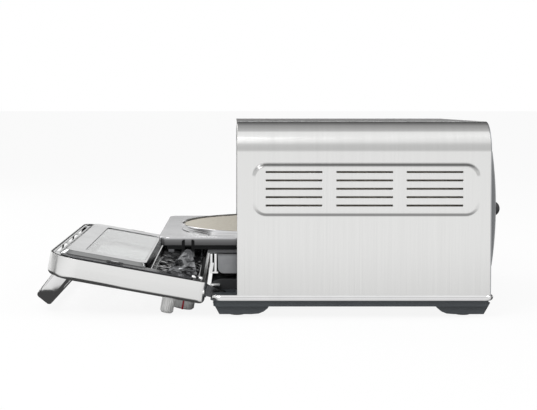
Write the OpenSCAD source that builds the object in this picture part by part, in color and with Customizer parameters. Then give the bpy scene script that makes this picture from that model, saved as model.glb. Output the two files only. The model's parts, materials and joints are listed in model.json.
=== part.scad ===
// Countertop electric pizza oven with a drop-down front door.
// Opening the door draws the stone deck out on two rails, so the door and the deck move as one.
// X runs across the oven, -Y is the front, +Z is up. The door parts are drawn shut and then swung
// open, and the origin is at the middle of the footprint of the open oven, on the worktop.

/* [Body] */
// Width of the steel wrapper
body_w = 470; // [440:5:500]
// Depth of the steel wrapper, front edge to rear panel
body_d = 351; // [345:1:370]
// Height of the wrapper's flat top above the worktop
body_h = 271.4; // [268:0.2:280]
// Radius of the wrapper's two top corners
corner_r = 42; // [30:1:50]
// Thickness of the wrapper sheet
sheet = 1.2; // [1:0.1:1.5]
// How far the vent panels stand out from the two sides
emboss_depth = 2; // [1.5:0.1:2.1]
// Height of one vent slot
slot_h = 2.4; // [2:0.1:3]

/* [Base] */
// Height of the top of the base above the worktop
base_top = 31; // [30:0.5:32]
// How far the base reaches in front of the wrapper
base_front = 34; // [32:0.5:36]
// Height of the rubber pads under the feet
pad_h = 4; // [3:0.5:5]
// Height of the bright trim round the base
trim_h = 8; // [6:0.5:9]

/* [Cavity] */
// Half of the inner width of the oven cavity
cavity_hw = 198; // [196:0.5:200]
// Height of the cavity floor
cavity_floor = 47; // [46:0.5:48]
// Height of the cavity ceiling
cavity_top = 250; // [245:1:252]
// How deep the cavity reaches behind the wrapper's front edge
cavity_back = 341; // [338:0.5:342]
// Diameter of the heating elements' tubes
element_dia = 6.4; // [6:0.1:8]

/* [Door] */
// Angle between the shut and the open door
door_open = 79.7; // [74:0.1:82]
// Width of the door
door_w = 456; // [450:1:460]
// Height of the door's lower edge when shut
door_z0 = 47.5; // [47:0.5:48]
// Height of the door from edge to edge
door_h = 227; // [224:1:230]
// Thickness of the door at its lower edge
door_t_low = 31; // [30:0.1:32]
// Thickness of the door at its top edge
door_t_top = 31; // [30:0.1:32]
// Radius of the door's two lower corners
door_r = 10; // [8:0.5:18]
// Radius of the door's two top corners
door_top_r = 45; // [35:1:50]
// Gap between the shut door and the wrapper
door_gap = 1.2; // [1:0.1:2]
// Distance of the hinge axis in front of the wrapper
hinge_front = 21.2; // [21:0.1:22]
// Height of the hinge axis
hinge_z = 23.6; // [23.2:0.1:24]
// How far the inner window frame stands proud of the door's rim
plug_proud = 6; // [5:0.5:7]
// Depth of the recess that takes the front of the deck
recess_depth = 17.3; // [17:0.1:18]

/* [Handle] */
// Height of the handle's arms on the shut door
handle_z = 252; // [250:0.5:256]
// Half of the distance between the handle's two arms
handle_hw = 188; // [180:1:195]
// Width of the flattened handle tube
handle_w = 25; // [18:0.5:26]
// Thickness of the flattened handle tube
handle_t = 9.4; // [8:0.2:11]
// Distance of the grip's centre line from the door along the arms
handle_reach = 45; // [40:1:50]
// Lean of the handle's arms towards the top of the door
handle_lean = 28; // [20:1:32]

/* [Controls] */
// Diameter of the two dials
dial_d = 32; // [28:1:34]
// How far the dials stand proud of the door
dial_proud = 18; // [16:0.5:18]
// Diameter of the two timer knobs
timer_d = 18.4; // [16:0.2:20]
// How far the timer knobs stand proud of the door
timer_proud = 23; // [20:0.5:23]

/* [Deck] */
// Width of the deck tray
tray_w = 340; // [336:1:341]
// Length of the deck tray
tray_l = 353; // [352:0.5:354]
// Height of the tray's top face
tray_top = 105; // [104.5:0.5:105.5]
// Where the open tray's front edge is, ahead of the wrapper
tray_out = 112.7; // [112:0.1:113.5]
// Outer diameter of the ring that holds the stone
ring_d = 322; // [316:1:324]
// Radius of the door's draw pins about the hinge
draw_r = 76.1; // [75:0.1:77]

/* [Hidden] */
$fn = 64;
hull_fn = 32;
eps = 0.01;

hw = body_w / 2;
inner_hw = hw - sheet;
rim_y = -door_gap;
door_hw = door_w / 2;
door_wall = 1.2;
door_taper = atan((door_t_low - door_t_top) / door_h);
hinge = [0, -hinge_front, hinge_z];

// The door's draw pins swing equally to both sides of upright, which sets the deck's travel.
deck_travel = 2 * draw_r * sin(door_open / 2);
pin_out = [-hinge_front - draw_r * sin(door_open / 2), hinge_z + draw_r * cos(door_open / 2)];
pin_in = [-hinge_front + draw_r * sin(door_open / 2), pin_out[1]];
draw_pin_r = 2.5;

// The grip's lowest and foremost point with the door open, and the rear face, give the frame.
grip_z = handle_z + handle_reach * sin(handle_lean);
grip_y = outer_y(handle_z) - handle_reach * cos(handle_lean);
grip_open_y = -hinge_front + (grip_y + hinge_front) * cos(door_open)
    - (grip_z - hinge_z) * sin(door_open);
rear_y = body_d + 34.6;
frame_shift = -(grip_open_y - handle_w / 2 + rear_y) / 2;

ring_r = ring_d / 2;
stone_y = -tray_out + 26 + ring_r;
plate_x = 172;
plate_t = 2.5;
rear_cover_hw = 150;
rear_cover_z = [59, 229];
foot_x = [170, 226];
arm_x = 183;
fan_x = 66;
fan_z = 132;
gland_at = [-218, 62];
cavity_r = 6;

// Depth of the door's outer face at height z, with the door shut.
function outer_y(z) = rim_y - door_t_low + (z - door_z0) * tan(door_taper);

// ---- Helpers ----

module in_frame() { translate([0, frame_shift, 0]) children(); }

module on_door() {
    in_frame() translate(hinge) rotate([door_open, 0, 0]) translate(-hinge) children();
}

// Extrudes a drawing in (X, Z) from y0 to y1.
module along_y(y0, y1) {
    translate([0, y1, 0]) rotate([90, 0, 0]) linear_extrude(y1 - y0) children();
}

// Extrudes a drawing in (Y, Z) from x0 to x1.
module along_x(x0, x1) {
    translate([x0, 0, 0]) rotate([90, 0, 90]) linear_extrude(x1 - x0) children();
}

module both_sides() {
    for (m = [0, 1]) mirror([m, 0, 0]) children();
}

// A box given by its lowest and highest corners.
module block(low, high) { translate(low) cube(high - low); }

// A rectangle from low to high with round corners.
module plate2(low, high, r) {
    translate(low + [r, 0]) square([high[0] - low[0] - 2 * r, high[1] - low[1]]);
    translate(low + [0, r]) square([high[0] - low[0], high[1] - low[1] - 2 * r]);
    for (x = [low[0] + r, high[0] - r], y = [low[1] + r, high[1] - r])
        translate([x, y]) circle(r);
}

// A horizontal pin along X with its centre at (y, z).
module pin_x(x0, x1, y, z, r) {
    translate([x0, y, z]) rotate([0, 90, 0]) cylinder(h = x1 - x0, r = r);
}

// A pin along Y with its centre at (x, z).
module pin_y(y0, y1, x, z, r) {
    translate([x, y1, z]) rotate([90, 0, 0]) cylinder(h = y1 - y0, r = r);
}

// The wrapper's section, shrunk by g.
module wrap_section(g) {
    translate([-hw + g, base_top]) square([2 * (hw - g), body_h - corner_r - base_top]);
    translate([-hw + corner_r, base_top]) square([2 * (hw - corner_r), body_h - base_top - g]);
    for (m = [-1, 1]) translate([m * (hw - corner_r), body_h - corner_r]) circle(corner_r - g);
}

// ---- Body ----

hem = 7;
vent_y = [20.4, 335.4];
vent_z = [141, 215];
vent_r = 20;
vent_cols = [39.5, 136.8, 233.5];
vent_slot_l = 77.7;
vent_pitch = 11.55;
vent_mid = 179.4;

// One raised panel with its sloping rim, on the right side, shrunk by g.
module vent_panel(g) {
    hull() {
        along_x(hw + emboss_depth - g - eps, hw + emboss_depth - g)
            plate2([vent_y[0] + 5, vent_z[0] + 5], [vent_y[1] - 5, vent_z[1] - 5], vent_r - 5,
                $fn = hull_fn);
        along_x(hw - g - 1, hw - g)
            plate2([vent_y[0], vent_z[0]], [vent_y[1], vent_z[1]], vent_r, $fn = hull_fn);
    }
}

module vent_slots() {
    for (y = vent_cols, row = [-2:2])
        translate([hw - 12, y, vent_mid + row * vent_pitch - slot_h / 2])
            cube([18, vent_slot_l, slot_h]);
}

module outer_wrap() {
    color("silver") in_frame() difference() {
        union() {
            along_y(0, body_d - sheet) wrap_section(0);
            both_sides() vent_panel(0);
        }
        along_y(sheet, body_d) wrap_section(sheet);
        along_y(-1, sheet + 1) wrap_section(hem);
        both_sides() {
            vent_panel(sheet * 1.1);
            vent_slots();
        }
    }
}

// How far the base stands out behind the rear panel
base_rear = 3;

module base_outline(g) {
    plate2([-hw + g, -base_front + g], [hw - g, body_d + base_rear - g], 12 - g);
}

foot_front = [[-30.5, 20], [-21.5, pad_h], [20, pad_h], [30, 4.8], [37, 7.6], [42.5, 12], [47, 19], [47, 20]];

module foot_pair() {
    both_sides() along_x(foot_x[0], foot_x[1]) polygon(foot_front);
    both_sides() along_x(foot_x[0], foot_x[1])
        translate([body_d - base_front + 4.5, 0]) mirror([1, 0]) polygon(foot_front);
}

well_x = [177, 203];

module base_tray() {
    color("#3f4346") in_frame() difference() {
        union() {
            translate([0, 0, base_top - trim_h + 1]) linear_extrude(trim_h - 1) base_outline(0);
            translate([0, 0, 15.5]) linear_extrude(9.5) base_outline(4);
            foot_pair();
        }
        // Ribbed underside
        for (i = [-2:2], j = [0:4])
            block([i * 66 - 31, 8 + j * 66, 14], [i * 66 + 31, 8 + j * 66 + 62, 27]);
        // Wells in the front corners for the hinges
        both_sides() {
            block([well_x[0], -base_front + 4.5, 15], [well_x[1], -2, base_top + 1]);
            block([arm_x - 2, -base_front - 1, 16.4], [arm_x + 19.5, -base_front + 5, base_top + 1]);
        }
    }
}

// Half-round bright strip round the base.
module base_trim() {
    r = 0.58 * trim_h;
    zc = base_top + 1 - trim_h / 2;
    bulge = 2.2;
    module lens() {
        intersection() {
            translate([-r + bulge, 0]) circle(r);
            translate([0, -r]) square([r, 2 * r]);
        }
    }
    color("gainsboro") in_frame() difference() {
        union() {
            both_sides() translate([hw, body_d + base_rear - 12, zc]) rotate([90, 0, 0])
                linear_extrude(body_d + base_rear + base_front - 24) lens();
            translate([-hw + 12, -base_front, zc]) rotate([90, 0, 90]) linear_extrude(2 * hw - 24)
                mirror([1, 0]) lens();
            both_sides() {
                translate([hw - 12, -base_front + 12, zc]) rotate([0, 0, -90])
                    rotate_extrude(angle = 90) translate([12, 0]) lens();
                translate([hw - 12, body_d + base_rear - 12, zc])
                    rotate_extrude(angle = 90) translate([12, 0]) lens();
            }
        }
        both_sides() block([arm_x - 2, -base_front - 4, 16], [arm_x + 19.5, -base_front + 5, 60]);
        block([-hw, 0, base_top], [hw, body_d, 60]);
    }
}

module rubber_feet() {
    color("#1d1d1f") in_frame() both_sides() for (y = [-8, body_d - 41]) {
        translate([199, y + 8, 0]) cylinder(h = pad_h, r1 = 10.4, r2 = 11);
        translate([199, y + 8, pad_h - 1]) cylinder(h = 1, r = 11);
    }
}

module rear_panel() {
    color("#b9bbbd") in_frame() difference() {
        along_y(body_d - sheet, body_d) wrap_section(0);
        pin_y(body_d - 3, body_d + 3, fan_x, fan_z, 34);
        pin_y(body_d - 3, body_d + 3, gland_at[0], gland_at[1], 8);
        both_sides() for (x = [168:10:208], z = [150:14:206])
            block([x - 1.5, body_d - 3, z], [x + 1.5, body_d + 3, z + 9]);
    }
}

// The rear cover's section in (Y, Z), bowed at the back and shrunk by g.
module cover_section(g) {
    intersection() {
        plate2([body_d - 20, rear_cover_z[0] + g / 2], [body_d + cover_t - g, rear_cover_z[1] - g / 2],
            11, $fn = hull_fn);
        translate([body_d + cover_t - g - cover_bow, (rear_cover_z[0] + rear_cover_z[1]) / 2])
            circle(cover_bow, $fn = 400);
    }
}

cover_t = 26.5;
cover_bow = 600;

module rear_cover() {
    color("#6f7274") in_frame() difference() {
        hull() {
            along_x(-rear_cover_hw + 9, rear_cover_hw - 9) cover_section(0);
            along_x(-rear_cover_hw + 3, rear_cover_hw - 3) cover_section(2.6);
            along_x(-rear_cover_hw, rear_cover_hw) cover_section(9);
        }
        along_x(-rear_cover_hw + 6, rear_cover_hw - 6) cover_section(4.6);
        block([-200, body_d - 30, 0], [200, body_d, 300]);
        for (x = [-72, 0, 72], row = [0:8])
            block([x - 32, body_d + 14, 86 + row * 14], [x + 32, body_d + 40, 90 + row * 14]);
        both_sides() pin_y(body_d + 10, body_d + 40, spacer_at[0], spacer_at[1], spacer_r);
    }
}

spacer_at = [128, 143];
spacer_r = 11;

module wall_spacers() {
    dome_r = 11.5;
    reach = rear_y - body_d;
    color("#4a4d4f") in_frame() both_sides() translate([spacer_at[0], body_d, spacer_at[1]])
        rotate([-90, 0, 0]) rotate_extrude() intersection() {
            translate([0, reach - dome_r]) circle(dome_r);
            translate([0, 22]) square([spacer_r, reach]);
        }
}

module cord_gland() {
    color("#202124") in_frame() {
        pin_y(body_d - 9, body_d + 2, gland_at[0], gland_at[1], 8);
        pin_y(body_d, body_d + 7, gland_at[0], gland_at[1], 12);
    }
}

module front_frame() {
    color("#8f9294") in_frame() difference() {
        along_y(8, 9.2) wrap_section(sheet);
        along_y(7, 10) plate2([-197, 52], [197, 248], 10);
    }
}

sill_top = door_z0 - 1.6;

// The dark housing under the door, round about the hinge axis where the door's edge sweeps past.
module front_sill() {
    color("#2c2f31") in_frame() along_x(-176, 176) intersection() {
        polygon([[-31.5, base_top], [-46, 53], [8, sill_top], [8, base_top]]);
        union() {
            translate([-hinge_front, hinge_z]) circle(sill_top - hinge_z);
            translate([-hinge_front, base_top]) square([hinge_front + 8, sill_top - base_top]);
        }
    }
}

module cavity_section(g) {
    plate2([-cavity_hw - g, cavity_floor - g], [cavity_hw + g, cavity_top + g], cavity_r + g);
}

module cavity_liner() {
    color("#9fa1a3") in_frame() {
        difference() {
            union() {
                along_y(9.2, cavity_back + 1) cavity_section(1);
                along_y(9.2, 10.2) cavity_section(9);
            }
            along_y(0, cavity_back) cavity_section(0);
        }
    }
}

module insulation_blanket() {
    color("#d8d2c2") in_frame() difference() {
        along_y(10.2, body_d - sheet) cavity_section(7);
        along_y(0, cavity_back + 1) cavity_section(1);
    }
}

module element_ring(r, z, leg_x) {
    e = element_dia / 2;
    translate([0, stone_in, z]) {
        rotate([0, 0, 90 + asin(leg_x / r)]) rotate_extrude(angle = 360 - 2 * asin(leg_x / r))
            translate([r, 0]) circle(e);
        for (m = [-1, 1]) translate([m * leg_x, sqrt(r * r - leg_x * leg_x) - 2, 0]) rotate([-90, 0, 0])
            cylinder(h = cavity_back - stone_in - sqrt(r * r - leg_x * leg_x) + 2, r = e);
    }
}

stone_in = stone_y + deck_travel;

module lower_element_outer() { color("#54504c") in_frame() element_ring(130, 77, 34); }
module lower_element_inner() { color("#54504c") in_frame() element_ring(68, 77, 14); }
module upper_element_outer() { color("#54504c") in_frame() element_ring(130, 228, 34); }
module upper_element_inner() { color("#54504c") in_frame() element_ring(68, 228, 14); }

module lower_reflector() {
    color("#c9cbcc") in_frame() translate([0, stone_in, cavity_floor]) rotate_extrude() polygon(
        [[0, 0], [138, 0], [148, 6], [154, 6], [154, 7], [147.6, 7], [137.6, 1], [0, 1]]);
}

// The dished shield between the upper elements and the cavity's ceiling, hung on three posts.
module upper_shield() {
    color("#c9cbcc") in_frame() translate([0, stone_in, 0]) {
        rotate_extrude() polygon([[0, 237], [90, 237], [104, 232], [104, 233.2], [90.4, 238.2], [0, 238.2]]);
        for (a = [30, 150, 270]) rotate([0, 0, a]) translate([60, 0, 238.2])
            cylinder(h = cavity_top - 238.2, r = 3);
    }
}

module element_clips() {
    e = element_dia / 2;
    color("#a7a9ab") in_frame() both_sides() for (a = [-60, -5])
        translate([0, stone_in, 0]) rotate([0, 0, a]) translate([130, 0, 0]) {
            block([-7, -1, 52], [7, 1, 77 - e]);
            block([-7, -1, 228 + e], [7, 1, cavity_top]);
            block([-7, -5, 48], [7, 5, 52]);
        }
}

module temperature_probes() {
    color("#c9b37a") in_frame() for (p = [[90, 84], [-90, 206]]) {
        pin_y(cavity_back - 46, cavity_back, p[0], p[1], 2.6);
        pin_y(cavity_back - 5, cavity_back, p[0], p[1], 6);
    }
}

rail_z = [53, 67];
rail_y = [14, 330];

module deck_rails() {
    color("#b4b6b8") in_frame() both_sides() along_y(rail_y[0], rail_y[1]) difference() {
        translate([cavity_hw - 12, rail_z[0]]) square([12, rail_z[1] - rail_z[0]]);
        translate([cavity_hw - 13, rail_z[0] + 1.5]) square([11.5, rail_z[1] - rail_z[0] - 3]);
    }
}

module hinge_brackets() {
    color("#b4b6b8") in_frame() both_sides() difference() {
        union() {
            block([178.4, -28.4, 15], [192, -5, 16.8]);
            for (x = [[178.4, 181], [189, 192]]) along_x(x[0], x[1]) {
                translate([-hinge_front, hinge_z]) circle(7.2);
                translate([-28.4, 15]) square([14.4, 9]);
            }
            along_x(189, 192) translate([-28.4, 15]) square([21.4, 12]);
        }
        pin_x(170, 200, -hinge_front, hinge_z, 3);
    }
}

module hinge_pins() {
    color("gainsboro") in_frame() both_sides() {
        pin_x(177.6, 192, -hinge_front, hinge_z, 3);
        pin_x(192, 197, -hinge_front, hinge_z, 5.6);
    }
}

// Bright bars on the ends of the sill that the open door's arms come to rest behind.
module stop_bars() {
    color("gainsboro") in_frame() both_sides() {
        along_x(176, 182) plate2([-37.8, 36.8], [-24, 40], 1.5);
    }
}

fan_r = 33;

module fan_housing() {
    color("#26282a") in_frame() translate([fan_x, 0, fan_z]) difference() {
        along_y(body_d, body_d + 17) plate2([-40, -40], [40, 40], 5);
        difference() {
            pin_y(body_d - 1, body_d + 18, 0, 0, fan_r + 1.5);
            pin_y(body_d - 2, body_d + 3.5, 0, 0, 13);
            for (a = [45:90:315]) rotate([0, a, 0]) block([-2, body_d - 2, 0], [2, body_d + 3.5, 60]);
        }
        pin_y(body_d - 2, body_d + 5, 0, 0, 2.05);
    }
}

module fan_rotor() {
    color("#1b1c1e") in_frame() translate([fan_x, 0, fan_z]) {
        pin_y(body_d + 4.2, body_d + 14.5, 0, 0, 12);
        pin_y(body_d, body_d + 5, 0, 0, 2);
        for (a = [0:360 / 7:359]) rotate([0, a, 0]) translate([0, body_d + 9.4, 11]) rotate([0, 0, 38])
            translate([-8.4, -0.7, 0]) cube([16.8, 1.4, fan_r - 12.5]);
    }
}

module power_board() {
    color("#2f6b46") in_frame() {
        block([-223.6, 62, base_top], [-222, 250, 150]);
        block([-222, 76, 60], [-211, 104, 92]);
        block([-222, 76, 100], [-211, 104, 132]);
        translate([-222, 140, 74]) rotate([0, 90, 0]) cylinder(h = 12, r = 11);
        translate([-222, 140, 104]) rotate([0, 90, 0]) cylinder(h = 12, r = 11);
        block([-222, 176, 56], [-212, 232, 84]);
        block([-222, 176, 96], [-216, 214, 120]);
    }
}

module terminal_block() {
    color("#e4e0d4") in_frame() difference() {
        block([-216, 300, base_top], [-210, 336, base_top + 16]);
        for (y = [306, 318, 330]) pin_x(-220, -205, y, base_top + 9, 2.4);
    }
}

module body_screws() {
    color("#8a8c8e") in_frame() for (x = [-214, 214], z = [44, 130, 216])
        pin_y(body_d, body_d + 1.8, x, z, 4);
    color("#8a8c8e") in_frame() for (x = [-90, 0, 90]) pin_y(body_d, body_d + 1.8, x, 250, 4);
}

// ---- Door, drawn shut ----

// Discs at the door's four corners, whose hull is the door's solid, shrunk by g. Towards the
// outer face each step of edge_steps gives a depth and how much smaller the disc is there.
edge_steps = [[6, 0], [3.4, 0.8], [1.4, 2.4], [0.3, 4.4], [0, 6.4]];

module door_discs(g) {
    for (m = [-1, 1], c = [[door_r, door_r], [door_h - door_top_r, door_top_r]]) {
        x = m * (door_hw - c[1]);
        z = door_z0 + c[0];
        translate([x, rim_y - g, z]) rotate([90, 0, 0]) cylinder(h = 1, r = c[1] - g, $fn = 48);
        for (step = edge_steps) translate([x, outer_y(z) + step[0] + g + eps, z])
            rotate([90 - door_taper, 0, 0]) cylinder(h = eps, r = c[1] - step[1] - g, $fn = 48);
    }
}

// The door's outline in front view, shrunk by g.
module door_outline(g) {
    x = door_hw - g;
    z0 = door_z0 + g;
    z1 = door_z0 + door_h - g;
    r0 = door_r - g;
    r1 = door_top_r - g;
    translate([-x, z0 + r0]) square([2 * x, z1 - r1 - z0 - r0]);
    translate([-x + r0, z0]) square([2 * (x - r0), r0 + 1]);
    translate([-x + r1, z1 - r1 - 1]) square([2 * (x - r1), r1 + 1]);
    for (m = [-1, 1]) {
        translate([m * (x - r0), z0 + r0]) circle(r0);
        translate([m * (x - r1), z1 - r1]) circle(r1);
    }
}

win_hw = 158;
win_z = [139, 233];
vent_x = [-118, 0, 118];
vent_half = 49;
door_top = door_z0 + door_h;
dial_at = [172, 76];
timer_at = [205, 97];
shaft_r = 3;

module door_shell() {
    color("silver") on_door() difference() {
        hull() door_discs(0);
        hull() door_discs(door_wall);
        // Mouth inside the turned-in rim
        along_y(rim_y - 3, 2) door_outline(6);
        // Window
        along_y(-60, -10) plate2([-win_hw, win_z[0]], [win_hw, win_z[1]], 10);
        // Cooling slots in the top wall
        for (x = vent_x) block([x - vent_half, -20, door_top - 5], [x + vent_half, -7, door_top + 2]);
        // Holes for the shafts of the controls
        both_sides() for (p = [dial_at, timer_at]) pin_y(-40, -20, p[0], p[1], 4.2);
        // Slots over the arms' feet
        both_sides() pin_y(-40, -24, handle_hw, handle_z - 1, 2.6);
    }
}

// The liner's solid, shrunk by g: a flange, a raised window frame and a recess for the deck.
module liner_form(g) {
    difference() {
        union() {
            along_y(-23, rim_y - 1.2 - g)
                door_outline(2.5 - 20 * g);
            hull() {
                along_y(-23, rim_y - 1.2 - g)
                    plate2([-196 + g, 131 + g], [196 - g, 262.5 - g], 18 - g, $fn = hull_fn);
                along_y(-23, rim_y + plug_proud - g)
                    plate2([-187 + g, 138 + g], [187 - g, 254 - g], 13 - g, $fn = hull_fn);
            }
        }
        along_y(rim_y - recess_depth - g, 20)
            plate2([-176.5 - g, 60 - g], [176.5 + g, 129 + g], 6 + g);
    }
}

module door_liner() {
    color("#c4c6c8") on_door() difference() {
        liner_form(0);
        liner_form(1);
        along_y(-30, 12) plate2([-win_hw, 142], [win_hw, 229], 8);
        for (x = vent_x)
            block([x - vent_half, -8, door_top - 9.5], [x + vent_half, 2, door_top - 4.6]);
    }
}

module door_insulation() {
    color("#d8d2c2") on_door() along_y(-28.6, rim_y - recess_depth - 1.2)
        plate2([-146, 62], [146, 127], 4);
}

module on_door_face() {
    translate([0, outer_y(door_z0), door_z0]) rotate([-door_taper, 0, 0]) children();
}

module window_outer() {
    color([0.7, 0.8, 0.82, 0.45]) on_door() on_door_face() along_y(door_wall + 0.1, door_wall + 3.6)
        plate2([-win_hw - 8, win_z[0] - 8 - door_z0], [win_hw + 8, win_z[1] + 8 - door_z0], 8);
}

module window_inner() {
    color([0.7, 0.8, 0.82, 0.45]) on_door() along_y(rim_y + plug_proud - 5, rim_y + plug_proud - 1)
        plate2([-win_hw - 8, 139.6], [win_hw + 8, 236.5], 8);
}

module window_retainer() {
    color("#97999b") on_door() along_y(rim_y + plug_proud - 6.2, rim_y + plug_proud - 5) difference() {
        plate2([-188.8, 136], [188.8, 257], 14);
        plate2([-win_hw, 142], [win_hw, 229], 8);
    }
}

// The handle's flattened section: round-edged strip, w across the bend and t thick.
module handle_section() {
    flat = handle_w - handle_t;
    square([handle_t, flat], center = true);
    for (m = [-1, 1]) translate([0, m * flat / 2]) circle(handle_t / 2);
}

handle_bend = 20;

module handle_bail() {
    straight = handle_reach - handle_bend + 14;
    for (m = [0, 1]) mirror([m, 0, 0]) {
        translate([handle_hw, -14, 0]) rotate([-90, 0, 0]) linear_extrude(straight) handle_section();
        translate([handle_hw - handle_bend, handle_reach - handle_bend, 0])
            rotate_extrude(angle = 90) translate([handle_bend, 0]) handle_section();
    }
    translate([-(handle_hw - handle_bend), handle_reach, 0]) rotate([0, 90, 0])
        linear_extrude(2 * (handle_hw - handle_bend)) rotate([0, 0, 90]) handle_section();
}

module handle() {
    color("silver") on_door() difference() {
        translate([0, outer_y(handle_z), handle_z]) rotate([180 - handle_lean, 0, 0]) handle_bail();
        on_door_face() block([-240, 0, 150], [240, 40, 260]);
        both_sides() pin_y(outer_y(handle_z) - 9, -10, handle_hw, handle_z - 1, 2.6);
    }
}

module handle_screws() {
    color("#8a8c8e") on_door() both_sides() {
        pin_y(outer_y(handle_z) - 7.5, outer_y(handle_z) + 1.5, handle_hw, handle_z - 1, 2.4);
        pin_y(outer_y(handle_z) + 1.3, outer_y(handle_z) + 4, handle_hw, handle_z - 1, 4.6);
    }
}

module hinge_arms() {
    color("#b4b6b8") on_door() both_sides() difference() {
        union() {
            along_x(arm_x, arm_x + 4) {
                translate([-hinge_front, hinge_z]) circle(6.4);
                polygon([[-hinge_front - 6.4, hinge_z], [-25.6, door_z0], [-9, door_z0],
                    [-hinge_front + 6.4, hinge_z]]);
            }
            block([arm_x, -25.6, door_z0 - 1.8], [arm_x + 17, -9, door_z0]);
        }
        pin_x(arm_x - 1, arm_x + 5, -hinge_front, hinge_z, 4.2);
    }
}

module hinge_bushes() {
    color("#a8813a") on_door() both_sides() difference() {
        pin_x(arm_x - 0.6, arm_x + 4.6, -hinge_front, hinge_z, 4.2);
        pin_x(arm_x - 2, arm_x + 6, -hinge_front, hinge_z, 3.05);
    }
}

ear_x = [177.5, 180];

// Ears on the liner that carry the draw pins into the forks of the deck's carriage.
module draw_ears() {
    flange_y = rim_y - 1.2;
    color("#8f9294") on_door() both_sides() difference() {
        union() {
            along_x(ear_x[0], ear_x[1]) {
                polygon([[flange_y, 62], [flange_y, 108], [8, 101], [pin_in[0] + 3, pin_in[1] + 6.3],
                    [pin_in[0] + 1, pin_in[1] - 6.9], [8, 66]]);
                translate(pin_in) circle(7);
            }
            block([ear_x[1], flange_y, 64], [ear_x[1] + 9, flange_y + 1.4, 106]);
        }
        pin_x(170, 190, pin_in[0], pin_in[1], draw_pin_r);
    }
}

module draw_pins() {
    color("gainsboro") on_door() both_sides() {
        pin_x(plate_x, ear_x[1], pin_in[0], pin_in[1], draw_pin_r);
        pin_x(ear_x[1], ear_x[1] + 1.6, pin_in[0], pin_in[1], 4.4);
    }
}

module control_boards() {
    color("#2f6b46") on_door() both_sides() difference() {
        block([155, -21.6, 61], [219, -20.2, 112]);
        block([184, -22, 60], [196, -19, 66]);
    }
}

module control_at(p) {
    pot_r = 7;
    difference() {
        union() {
            along_y(-29.4, -21.6) translate(p) square(2 * pot_r, center = true);
            pin_y(outer_y(p[1]) - 0.1, -29.4, p[0], p[1], 4.1);
        }
        pin_y(-40, -23, p[0], p[1], shaft_r + 0.05);
    }
}

module dial_controls() {
    color("#55585a") on_door() both_sides() for (p = [dial_at, timer_at]) control_at(p);
}

module door_studs() {
    color("gainsboro") on_door() both_sides() for (z = [57.4, 67.5])
        translate([212, rim_y - 1.2, z]) rotate([-90, 0, 0]) rotate_extrude() {
            square([2.2, 4]);
            intersection() {
                translate([0, 3.6]) circle(3.6);
                translate([0, 2.6]) square([4, 5]);
            }
        }
}

// A knob whose stem turns in its control's bore. Its skirt is fluted n times.
module knob(p, d, proud, flutes, flute_r) {
    face = outer_y(p[1]);
    translate([p[0], face - 0.8, p[1]]) rotate([90, 0, 0]) {
        difference() {
            union() {
                linear_extrude(proud - 2.8) difference() {
                    circle(d / 2);
                    for (i = [0:flutes - 1]) rotate(i * 360 / flutes)
                        translate([d / 2 + flute_r * 0.55, 0]) circle(flute_r, $fn = 24);
                }
                translate([0, 0, proud - 2.8]) cylinder(h = 2, r1 = d / 2 - 0.6, r2 = d / 2 - 2);
            }
            translate([0, 0, -1]) cylinder(h = 1.6, r = 5);
        }
        translate([0, 0, face + 22.6]) cylinder(h = 1 - face - 22.6, r = shaft_r);
    }
}

module dial(side) { on_door() knob([side * dial_at[0], dial_at[1]], dial_d, dial_proud, 48, 0.9); }
module timer(side) { on_door() knob([side * timer_at[0], timer_at[1]], timer_d, timer_proud, 18, 1.3); }

module dial_right() { color("#d5d7d8") dial(1); }
module dial_left() { color("#d5d7d8") dial(-1); }
module timer_knob_right() { color("#d5d7d8") timer(1); }
module timer_knob_left() { color("#d5d7d8") timer(-1); }

// ---- Deck, drawn out ----

module tray_outline(g) {
    plate2([-tray_w / 2 + g, -tray_out + g], [tray_w / 2 - g, -tray_out + tray_l - g], 17 - g);
}

module deck_tray() {
    color("#c4c6c8") in_frame() difference() {
        translate([0, 0, tray_top - 12]) linear_extrude(12) tray_outline(0);
        translate([0, 0, tray_top - 13]) linear_extrude(11.6) tray_outline(1.4);
        translate([0, stone_y, tray_top - 3]) cylinder(h = 5, r = ring_r - 3.6, $fn = 128);
    }
}

module stone_ring() {
    color("gainsboro") in_frame() translate([0, stone_y, tray_top]) rotate_extrude($fn = 128) {
        polygon([[ring_r - 12, -8.4], [ring_r - 4, -8.4], [ring_r - 4, 0], [ring_r, 0], [ring_r - 0.4, 4.6],
            [ring_r - 2.4, 4.6], [ring_r - 3.4, 1.4], [ring_r - 5.4, 1.4], [ring_r - 5.4, -7],
            [ring_r - 12, -7]]);
        translate([ring_r - 1.4, 4.6]) circle(1.2);
    }
}

module pizza_stone() {
    color("#cfc5b2") in_frame() translate([0, stone_y, tray_top - 7]) {
        cylinder(h = 10, r = ring_r - 6, $fn = 128);
        translate([0, 0, 10]) cylinder(h = 0.8, r1 = ring_r - 6, r2 = ring_r - 6.8, $fn = 128);
    }
}

fork_y = pin_out[0];
fork_half = draw_pin_r + 1.8 + 0.5;

module carriage_plates() {
    color("#a0a2a4") in_frame() both_sides() {
        difference() {
            union() {
                along_x(plate_x, plate_x + plate_t) {
                    difference() {
                        plate2([-27, 54], [236, 100], 8);
                        translate([-30, 93]) square([267, 8]);
                        translate([-30, 81.6]) square([34, 20]);
                    }
                    translate([-100, 88.6]) square([110, 4.4]);
                    plate2([fork_y - 9, 76], [fork_y + 9, 101.5], 3);
                }
                block([plate_x - 12, -100, 91.5], [plate_x, 236, 93]);
            }
            block([plate_x - 1, fork_y - fork_half, 79], [plate_x + 5, fork_y + fork_half, 110]);
            block([plate_x - 2, fork_y - fork_half, 79], [plate_x + 5, fork_y + fork_half, 92.9]);
        }
    }
}

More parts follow.
